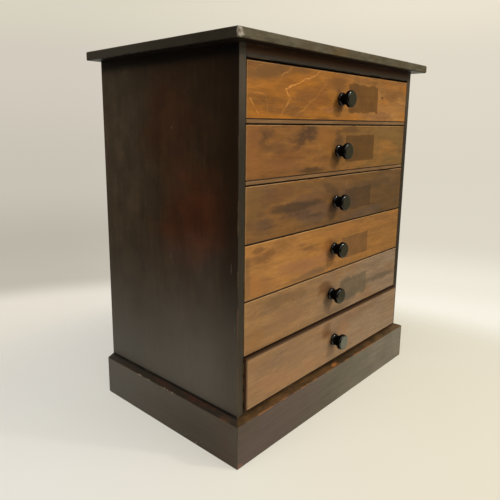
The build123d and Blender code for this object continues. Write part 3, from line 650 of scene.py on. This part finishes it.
def has_strip(number):
    return f"drawer_{number}_front_strip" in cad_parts


def make_drawer_finish(number):
    """A drawer front's own worn polish, on its face, edges and bare back."""
    look = {**usual_look, **drawer_looks[number]}
    low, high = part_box(f"drawer_{number}_front")
    material, tree, shader, place, grain = start_finish(
        f"drawer front {number} polish", along_x, 11.0 * number, 10.0, 26.0, 190.0
    )
    x, y, z = axes(tree, place)
    paint = blend(tree, slope(tree, x, -0.15, 0.15), colour(*look["left"]), colour(*look["right"]))
    leaning = {"Vector": place, "Rotation": (0.0, look["lean"], 0.0), "Scale": (0.42, 1.0, 1.3)}
    flame = add(tree, "Mapping", leaning).outputs[0]
    for stain, scale, seed in ((look["deep"], 34.0, 0.2), (look["warm"], 27.0, 5.7)):
        part = slope(tree, mottle(tree, flame, scale, 5.0, number + seed, 0.6), 0.48, 0.66)
        paint = tint(tree, paint, part, look["flame"], stain)
    tone = between(tree, slope(tree, grain["Bands"], 0.3, 0.7), *look["bands"])
    fine = between(tree, slope(tree, grain["Lines"], 0.25, 0.75), 0.84, 1.16)
    hair = vectors(tree, "MULTIPLY", place, (0.2, 1.0, 1.0))
    grit = between(tree, slope(tree, mottle(tree, hair, 520.0, 3.0, number, 0.75), 0.25, 0.75), 0.86, 1.14)
    paint = shaded(tree, paint, times(tree, times(tree, tone, fine), grit))
    for index, ((across, up), (wide, tall), stain, share) in enumerate(look["clouds"]):
        centre = (across, low.y / MM, low.z / MM + up)
        mask = spot(tree, place, centre, (wide, 50, tall), number + index * 0.7, 1.1, 48.0)
        paint = tint(tree, paint, mask, share, stain)
    for x1, z1, x2, z2, share in look["lines"]:
        inputs = {
            "Vector": place,
            "Start": (x1 * MM, low.y, low.z + z1 * MM),
            "End": (x2 * MM, low.y, low.z + z2 * MM),
            "Seed": 1.0,
        }
        mask = use(tree, figure_line, inputs)["Mask"]
        paint = tint(tree, paint, mask, share * 0.9, (222, 150, 68))
    shine = between(tree, mottle(tree, place, 30.0, 4.0, number), look["sheen"], look["sheen"] + 0.16)
    if look["label"]:
        (across, up), (wide, tall), stain, share = look["label"]
        inputs = {
            "Vector": place,
            "Centre": (across * MM, low.y, low.z + up * MM),
            "Half": (wide * MM, 1.0, tall * MM),
            "Ragged": look["torn"] * MM,
            "Soft": look["soft"] * MM,
        }
        mask = times(tree, use(tree, bare_patch, inputs)["Mask"], share)
        bare = shaded(tree, colour(*stain), between(tree, grain["Lines"], 0.84, 1.14))
        blotch = slope(tree, mottle(tree, place, 60.0, 5.0, number + 3.0, 0.6), 0.3, 0.7)
        bare = shaded(tree, bare, between(tree, blotch, 0.84, 1.2))
        paint = blend(tree, mask, paint, bare)
        shine = between(tree, mask, shine, 0.6)
    knob_low, knob_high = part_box(f"knob_{number}")
    knob = (knob_low + knob_high) / (2 * MM)
    # Grime and painted shadow: a darker stain placed down and left of the knob, where its shadow falls.
    grime_and_knob_shadow = spot(tree, place, (knob.x - 4, low.y / MM, knob.z - 2), (16, 50, 15), number, 0.7, 70.0)
    paint = tint(tree, paint, grime_and_knob_shadow, 0.65, (66, 42, 20))
    rub = worn_edges(tree, place, low, high, 1.3 * MM, 0.38, number + 30.0)
    paint = tint(tree, paint, rub, 0.6, (192, 150, 98))
    # A line along the front's lower edge: on most fronts dark, painted shade of the gap below (on drawers 1
    # and 2 also the joint with the strip); on drawer 6 pale.
    lower_edge_high = 1.7 if has_strip(number) else 1.3
    lower_edge_line = slope(tree, z, low.z + lower_edge_high * MM, low.z + (lower_edge_high - 0.5) * MM)
    paint = tint(tree, paint, lower_edge_line, 0.9, look["lower_edge_line"])
    paint = shaded(tree, paint, between(tree, grain["Pores"], 1.0, 0.9))
    # The edge faces are painted dark, painted shade in the gaps between fronts; drawer 6's own edge colour is
    # its visible top edge.
    edges = slope(tree, y, low.y + 0.7 * MM, low.y + 1.4 * MM)
    uneven = between(tree, grain["Lines"], 0.7, 1.3)
    paint = blend(tree, edges, paint, shaded(tree, colour(*look["edge"]), uneven))
    deeper = slope(tree, y, low.y + 4.2 * MM, low.y + 5.4 * MM)
    # Drawer 6: a darker band along its top edge, painted shade of the gap above it, and along its left end.
    if look["arris"]:
        upper = slope(tree, z, high.z - 1.9 * MM, high.z - 1.1 * MM)
        end = times(tree, slope(tree, x, low.x + 2.0 * MM, low.x + 1.2 * MM), 0.8)
        paint = tint(tree, paint, maths(tree, "MAXIMUM", upper, end), 0.9, look["arris"])
    # Painted shade inside the gaps: what lies deeper than 4.2 mm behind the face is darkened.
    paint = tint(tree, paint, deeper, 0.8, look["gap_shade"])
    back = slope(tree, y, high.y - 0.8 * MM, high.y - 0.2 * MM)
    paint = blend(tree, back, paint, blend(tree, grain["Bands"], colour(140, 100, 60), colour(172, 132, 86)))
    shine = between(tree, edges, shine, 0.6)
    height = maths(tree, "SUBTRACT", times(tree, grain["Lines"], 0.5),
                   times(tree, grain["Pores"], 0.3))
    end_finish(tree, shader, paint, shine, height, 0.08 * MM)
    shader.inputs["Specular IOR Level"].default_value = 0.32
    return material


def make_knob_finish(name, number, stain, share):
    """Ebonised turned wood under a glossy polish, with a dull waist and a flat face greyed by dust, which on
    the lowest knob also stands for a painted reflection of the floor.
    """
    material, tree, shader, place, _ = start_finish(name, along_y, 5.0)
    y = axes(tree, place)["Y"]
    handled = slope(tree, mottle(tree, place, 150.0, 4.0, 3.0), 0.5, 0.72)
    paint = blend(tree, handled, colour(6, 6, 5), colour(14, 15, 11))
    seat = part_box(f"drawer_{number}_front")[0].y
    face = slope(tree, y, seat - 16.38 * MM, seat - 16.54 * MM)
    waist = times(tree, slope(tree, y, seat - 3.3 * MM, seat - 3.7 * MM),
                  slope(tree, y, seat - 15.2 * MM, seat - 14.4 * MM))
    dust = times(tree, face, share)
    paint = blend(tree, dust, paint, colour(*stain))
    dull = maths(tree, "ADD", between(tree, handled, 0.1, 0.18), times(tree, dust, 0.2))
    end_finish(tree, shader, paint, dull, mottle(tree, place, 420.0, 3.0, 6.0), 0.03 * MM, 0.3)
    gloss = times(tree, between(tree, waist, 1.0, 0.12), between(tree, face, 1.0, 0.5))
    join(tree, gloss, shader.inputs["Coat Weight"])
    shader.inputs["Specular IOR Level"].default_value = 0.0
    shader.inputs["Coat Roughness"].default_value = 0.05
    shader.inputs["Coat Tint"].default_value = colour(255, 250, 232)
    return material


def make_fixing_finish():
    """Aged steel of the screws and pins, with rust in patches."""
    material, tree, shader, place, _ = start_finish("aged steel fixings", along_x, 2.0)
    rust = slope(tree, mottle(tree, place, 500.0, 4.0, 2.0), 0.48, 0.66)
    paint = blend(tree, rust, colour(128, 122, 114), colour(92, 58, 36))
    join(tree, between(tree, rust, 0.9, 0.1), shader.inputs["Metallic"])
    dull = between(tree, rust, 0.38, 0.8)
    end_finish(tree, shader, paint, dull, mottle(tree, place, 900.0, 3.0), 0.05 * MM)
    return material


def stain_name(node):
    return node.replace("_", " ") + " stain"


def dress(node, material):
    """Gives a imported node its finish."""
    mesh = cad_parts[node].data
    mesh.materials.clear()
    mesh.materials.append(material)


def dress_case():
    ends = Vector((0.0, 0.0, 20 * MM))
    for node, seed in (("side_left", 1.0), ("side_right", 2.0)):
        low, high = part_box(node)
        material = make_stained(
            stain_name(node), low - ends, high + ends, upright, seed,
            (46, 29, 13), (58, 39, 20), (70, 50, 30), details=side_details, specular=0.13,
        )
        dress(node, material)
    for node, seed in (("top_rail_front", 3.0), ("top_rail_back", 4.0)):
        low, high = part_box(node)
        dress(node, make_stained(stain_name(node), low, high, along_x, seed,
                                 (66, 56, 42), (80, 70, 54), (90, 80, 62), details=rail_details))
    low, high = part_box("bottom_board")
    dress("bottom_board", make_stained(stain_name("bottom_board"), low, high, along_x, 6.0,
                                       (48, 33, 18), (66, 46, 26), (84, 60, 36)))
    for nodes, name, turn, seed, deep, mid, pale in (
        (("back_panel",), "back panel wood", upright, 7.0, (96, 66, 40), (124, 90, 56), (144, 108, 72)),
        (("runners_left", "runners_right"), "runner wood", along_y, 8.0,
         (130, 96, 58), (158, 120, 76), (176, 140, 94)),
        (("plinth_back",), "plinth back wood", along_x, 9.0, (84, 60, 40), (108, 80, 54), (126, 98, 68)),
        (("glue_blocks",), "glue block wood", along_x, 9.5, (134, 100, 62), (160, 124, 80), (178, 142, 98)),
    ):
        wood = make_bare(name, turn, seed, deep, mid, pale)
        for node in nodes:
            dress(node, wood)
    fixings = make_fixing_finish()
    for node in ("top_screws", "back_pins"):
        dress(node, fixings)
    for number in range(1, drawer_count + 1):
        dress(f"knob_screw_{number}", fixings)


def strip_details(tree, place, grain, paint, shine):
    """A dark line along each strip's lower arris, painted shade of the gap below."""
    z = axes(tree, place)["Z"]
    for number in filter(has_strip, range(1, drawer_count + 1)):
        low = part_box(f"drawer_{number}_front_strip")[0].z
        # Painted shade of the gap below the strip.
        line = times(tree, slope(tree, z, low + 1.0 * MM, low + 0.4 * MM),
                     slope(tree, z, low - 4.0 * MM, low - 3.0 * MM))
        paint = tint(tree, paint, line, 0.85, (36, 22, 12))
    return paint, shine


def dress_drawers():
    side_wood = make_bare("drawer side wood", along_y, 21.0, (150, 112, 68), (178, 138, 90), (194, 158, 110))
    back_wood = make_bare("drawer back wood", along_x, 22.0, (146, 108, 66), (174, 134, 88), (190, 154, 108))
    bottom_wood = make_bare("drawer bottom wood", along_x, 23.0,
                            (140, 104, 64), (166, 128, 84), (184, 148, 102))
    strip_wood = make_bare("front strip wood", along_x, 24.0,
                           (104, 74, 40), (136, 98, 56), (160, 120, 74), details=strip_details)
    for number in range(1, drawer_count + 1):
        dress(f"drawer_{number}_front", make_drawer_finish(number))
        dress(f"drawer_{number}_side_left", side_wood)
        dress(f"drawer_{number}_side_right", side_wood)
        dress(f"drawer_{number}_back", back_wood)
        dress(f"drawer_{number}_bottom", bottom_wood)
        if has_strip(number):
            dress(f"drawer_{number}_front_strip", strip_wood)


# ---------------------------------------------------------------- pieces


def show(shape, name, body, slot, material, *nodes, smooth=False):
    """Makes a finished piece of a bmesh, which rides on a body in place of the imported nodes."""
    mesh = bpy.data.meshes.new(name)
    shape.to_mesh(mesh)
    shape.free()
    for face in mesh.polygons:
        face.use_smooth = smooth
    mesh.materials.append(material)
    piece = bpy.data.objects.new(name, mesh)
    bpy.context.scene.collection.objects.link(piece)
    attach(piece, body)
    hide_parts(*nodes)


# How far out and how far up from the seat the knob's outline goes, in millimetres
knob_outline = (
    (0.0, 0.0), (7.7, 0.0), (7.95, 0.2), (8.0, 0.6), (8.0, 2.1), (7.85, 2.65), (7.55, 3.1), (7.15, 3.36),
    (6.9, 3.45), (6.7, 3.9), (6.6, 5.2), (6.75, 6.4), (7.3, 7.8), (8.2, 9.2), (9.15, 10.2), (9.8, 10.8),
    (10.12, 11.3), (10.2, 12.0), (10.2, 14.6), (10.12, 15.2), (9.88, 15.75), (9.5, 16.15), (9.0, 16.42),
    (8.4, 16.56), (7.6, 16.6), (4.0, 16.6), (0.0, 16.6),
)
knob_radius, knob_length = 10.2, 16.6


def make_knob(number, material):
    """A turned knob: base drum, waist and flat-faced head, spun about its own axis."""
    low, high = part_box(f"knob_{number}")
    middle = (low + high) / 2
    seat_y = high.y
    length = high.y - low.y
    radius = (high.x - low.x) / 2
    shape = bmesh.new()
    points = [
        shape.verts.new((middle.x + out / knob_radius * radius, seat_y - up / knob_length * length, middle.z))
        for out, up in knob_outline
    ]
    edges = [shape.edges.new(pair) for pair in zip(points, points[1:])]
    bmesh.ops.spin(
        shape, geom=points + edges, cent=(middle.x, 0.0, middle.z), axis=(0.0, 1.0, 0.0),
        angle=math.tau, steps=64, use_merge=True,
    )
    bmesh.ops.remove_doubles(shape, verts=shape.verts, dist=0.000005)
    bmesh.ops.recalc_face_normals(shape, faces=shape.faces)
    name, body = f"turned_knob_{number}", f"drawer_{number}"
    show(shape, name, body, "knob_black", material, f"knob_{number}", smooth=True)


def cut_slices(shape, axis, low, high, step):
    """Cuts a shape across its length, so that its arrises can be worn."""
    count = max(1, round((high - low) / step))
    for index in range(1, count):
        at = Vector((0.0, 0.0, 0.0))
        at[axis] = low + (high - low) * index / count
        facing = Vector((0.0, 0.0, 0.0))
        facing[axis] = 1.0
        geom = shape.verts[:] + shape.edges[:] + shape.faces[:]
        bmesh.ops.bisect_plane(shape, geom=geom, dist=0.0000001, plane_co=at, plane_no=facing)


def wear_arrises(shape, depth, seed, corners=()):
    """Moves points of the arrises inward, in patches and more at the named corners."""
    shape.normal_update()
    moves = []
    for point in shape.verts:
        normals = [face.normal for face in point.link_faces]
        turn = max((a.angle(b, 0.0) for a in normals for b in normals), default=0.0)
        if turn < math.radians(8):
            continue
        place = point.co + Vector((seed, 0.0, 0.0))
        knocks = max(0.0, noise.noise(place * 90.0) - 0.05) * 1.6
        scuffs = max(0.0, noise.noise(place * 300.0)) * 0.5
        extra = 0.0
        for at, reach, size in corners:
            extra += max(0.0, 1.0 - (point.co - Vector(at)).length / reach) * size
        moves.append((point, -point.normal * (depth * (knocks + scuffs) + extra)))
    for point, move in moves:
        point.co += move


def worn_board(node, name, slot, material, slices, depth, seed, corners=()):
    """A packed board's own shape, with knocked and rubbed arrises."""
    shape = bmesh.new()
    shape.from_mesh(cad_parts[node].data)
    bmesh.ops.remove_doubles(shape, verts=shape.verts, dist=0.00001)
    bmesh.ops.dissolve_limit(shape, angle_limit=math.radians(1), verts=shape.verts, edges=shape.edges)
    low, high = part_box(node)
    for axis, step in slices:
        cut_slices(shape, axis, low[axis], high[axis], step)
    wear_arrises(shape, depth, seed, corners)
    bmesh.ops.triangulate(shape, faces=shape.faces)
    show(shape, name, "case", slot, material, node)


def make_pieces():
    knob_black = make_knob_finish("black turned knob", 1, (62, 60, 46), 0.75)
    # The lowest knob's grey face is partly dust and partly a painted reflection of the bright floor.
    dust_and_reflection_black = make_knob_finish("black turned knob with dust and painted reflection", drawer_count, (98, 100, 89), 0.95)
    for number in range(1, drawer_count + 1):
        make_knob(number, knob_black if number < drawer_count else dust_and_reflection_black)
    low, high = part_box("top_board")
    top_stain = make_stained(
        "top board stain", low, high, along_x, 31.0, (46, 39, 27), (56, 48, 35), (66, 57, 42),
        wear=1.2 * MM, patchy=0.54, worn=(92, 80, 60), details=top_details,
    )
    corner = ((low.x, low.y, 0.459), 0.009, 0.6 * MM)
    slices = ((0, 5 * MM), (1, 5 * MM))
    worn_board("top_board", "worn_top_board", "case_wood", top_stain, slices, 0.7 * MM, 3.0, (corner,))
    for node, turn, seed, axis in (
        ("plinth_front", along_x, 32.0, 0),
        ("plinth_left", along_y, 33.0, 1),
        ("plinth_right", along_y, 34.0, 1),
    ):
        low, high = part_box(node)
        stain = make_stained(
            stain_name(node), low, high, turn, seed, (70, 60, 47), (78, 68, 55), (88, 78, 65),
            wear=1.2 * MM, patchy=0.54, worn=(120, 98, 76), details=plinth_details(node == "plinth_front"),
        )
        worn_board(node, "worn_" + node, "case_wood", stain, ((axis, 4 * MM),), 0.8 * MM, seed)


# ---------------------------------------------------------------- floor, light and camera


floor_radius = 0.95
paper_full, paper_gone = 0.40, 0.60  # the paper fades into the backdrop between these
paper_middle = (-0.12, -0.12, 0.0)
backdrop_way = (0.68, 0.73, 0.0)
cabinet_middle = Vector((0.0, 0.0, 0.22))
lamps = (
    ("key_lamp", (0.36, -0.75, 0.56), 2.4, 1.2, 17.0, (255, 250, 242)),
    ("spark_lamp", (0.36, -0.72, 0.60), 2.4, 0.13, 14.0, (255, 250, 242)),
    ("over_lamp", (-0.10, -0.35, 0.93), 2.2, 1.8, 20.0, (255, 252, 246)),
    ("side_lamp", (-0.70, 0.00, 0.72), 2.4, 1.6, 19.0, (243, 248, 255)),
)
camera_turn, camera_rise, camera_roll = -46.9, 11.118, 0.262
camera_place = (-0.56655, case_face_y - 0.34364, 0.37250)
camera_lens, camera_shift = 36.405, (0.03515, -0.04816)


def make_stage():
    """A round of pale paper, which fades out before its rim."""
    shape = bmesh.new()
    bmesh.ops.create_circle(shape, cap_ends=True, segments=96, radius=floor_radius)
    mesh = bpy.data.meshes.new("pale floor")
    shape.to_mesh(mesh)
    shape.free()
    floor = bpy.data.objects.new("pale_floor", mesh)
    bpy.context.scene.collection.objects.link(floor)
    material = bpy.data.materials.new("pale floor paper")
    material.use_nodes = True
    tree = material.node_tree
    shader = tree.nodes["Principled BSDF"]
    place = add(tree, "TexCoord").outputs["Object"]
    shade = mottle(tree, place, 3.0, 3.0)
    x, y, _ = axes(tree, place)
    # The paper is lighter and cooler towards the left and back, where the cabinet's shadow falls: a painted
    # lightening and bluish tint of that shadow.
    warm = slope(tree, maths(tree, "SUBTRACT", x, y), -0.5, 0.35)
    paper = blend(tree, warm, colour(231, 227, 217), colour(228, 221, 200))
    paper = shaded(tree, paper, between(tree, shade, 0.98, 1.02))
    camera = add(tree, "LightPath").outputs["Is Camera Ray"]
    join(tree, tint(tree, paper, camera, 0.5, (0, 0, 0)), shader.inputs["Base Color"])
    join(tree, blend(tree, camera, colour(0, 0, 0), paper), shader.inputs["Emission Color"])
    shader.inputs["Emission Strength"].default_value = 0.5
    out = vectors(tree, "LENGTH", vectors(tree, "SUBTRACT", place, paper_middle))
    join(tree, slope(tree, out, paper_gone, paper_full), shader.inputs["Alpha"])
    join(tree, between(tree, shade, 0.75, 0.9), shader.inputs["Roughness"])
    shader.inputs["Specular IOR Level"].default_value = 0.1
    mesh.materials.append(material)


def make_world():
    """Soft light from all round, and a pale backdrop for the camera and for reflections."""
    world = bpy.data.worlds.new("studio")
    bpy.context.scene.world = world
    world.use_nodes = True
    tree = world.node_tree
    tree.nodes.clear()
    ray = add(tree, "TexCoord").outputs["Generated"]
    x, y, z = axes(tree, ray)
    ramps = []
    # The backdrop's colours by the ray's height, left and right: on the left a darker band just above the
    # horizon, a painted shadow on the wall; on the right a bright line at the horizon, a painted highlight
    # where the paper's fold catches light.
    for shades in (
        ((0.0, (222, 218, 206)), (0.31, (223, 217, 204)), (0.343, (229, 222, 209)), (0.360, (192, 186, 172)),
         (0.395, (188, 182, 168)), (0.45, (200, 194, 180)), (0.555, (211, 203, 190)), (0.61, (217, 212, 193)),
         (1.0, (222, 216, 200))),
        ((0.0, (228, 220, 199)), (0.31, (232, 225, 206)), (0.338, (248, 243, 228)), (0.362, (240, 234, 219)),
         (0.40, (222, 215, 200)), (0.46, (220, 213, 198)), (0.55, (224, 216, 200)), (0.61, (236, 227, 208)),
         (1.0, (238, 230, 212))),
    ):
        ramp = add(tree, "ValToRGB", {"Fac": maths(tree, "ADD", times(tree, z, 0.5), 0.5)})
        ramp.color_ramp.interpolation = "EASE"
        while len(ramp.color_ramp.elements) < len(shades):
            ramp.color_ramp.elements.new(0.5)
        for element, (at, shade) in zip(ramp.color_ramp.elements, shades):
            element.position = at
            element.color = colour(*shade)
        ramps.append(ramp.outputs[0])
    across = slope(tree, maths(tree, "SUBTRACT", x, y), -0.45, 0.55)
    path = add(tree, "LightPath").outputs
    towards_backdrop = vectors(tree, "DOT_PRODUCT", ray, backdrop_way)
    room = between(tree, slope(tree, towards_backdrop, 0.4, 0.8), 0.85, 0.0)
    strength = maths(tree, "SUBTRACT", 1.0, times(tree, path["Is Glossy Ray"], room))
    backdrop = add(tree, "Background", {"Color": blend(tree, across, *ramps), "Strength": strength})
    soft = add(tree, "Background", {"Color": colour(250, 252, 255), "Strength": 0.3})
    seen = maths(tree, "MAXIMUM", path["Is Camera Ray"],
                 maths(tree, "MAXIMUM", path["Is Glossy Ray"], path["Is Transmission Ray"]))
    mixed = add(tree, "MixShader", {0: seen, 1: soft.outputs[0], 2: backdrop.outputs[0]})
    join(tree, mixed.outputs[0], add(tree, "OutputWorld").inputs["Surface"])


def make_lamp(name, towards, distance, size, power, tint):
    """A square soft lamp that shines on the cabinet's middle from a direction."""
    data = bpy.data.lights.new(name, "AREA")
    data.shape = "SQUARE"
    data.size = size
    data.energy = power
    data.color = colour(*tint)[:3]
    lamp = bpy.data.objects.new(name, data)
    bpy.context.scene.collection.objects.link(lamp)
    direction = Vector(towards).normalized()
    lamp.location = cabinet_middle + direction * distance
    lamp.rotation_mode = "QUATERNION"
    lamp.rotation_quaternion = direction.to_track_quat("Z", "Y")


def make_camera():
    """The photograph's viewpoint, just off the front left corner and a little above the middle."""
    turn, rise, roll = (math.radians(v) for v in (camera_turn, camera_rise, camera_roll))
    back = Vector((math.sin(turn) * math.cos(rise), -math.cos(turn) * math.cos(rise), math.sin(rise)))
    right = Vector((math.cos(turn), math.sin(turn), 0.0))
    up = back.cross(right)
    tilted_right = right * math.cos(roll) + up * math.sin(roll)
    tilted_up = up * math.cos(roll) - right * math.sin(roll)
    data = bpy.data.cameras.new("camera")
    data.lens = camera_lens
    data.shift_x, data.shift_y = camera_shift
    data.clip_start = 0.01
    camera = bpy.data.objects.new("camera", data)
    bpy.context.scene.collection.objects.link(camera)
    facing = Matrix((tilted_right, tilted_up, back)).transposed().to_4x4()
    camera.matrix_world = Matrix.Translation(camera_place) @ facing
    bpy.context.scene.camera = camera


make_camera()
make_stage()
make_world()
for lamp in lamps:
    make_lamp(*lamp)
dress_case()
dress_drawers()
make_pieces()
bpy.context.scene.view_settings.view_transform = "Standard"
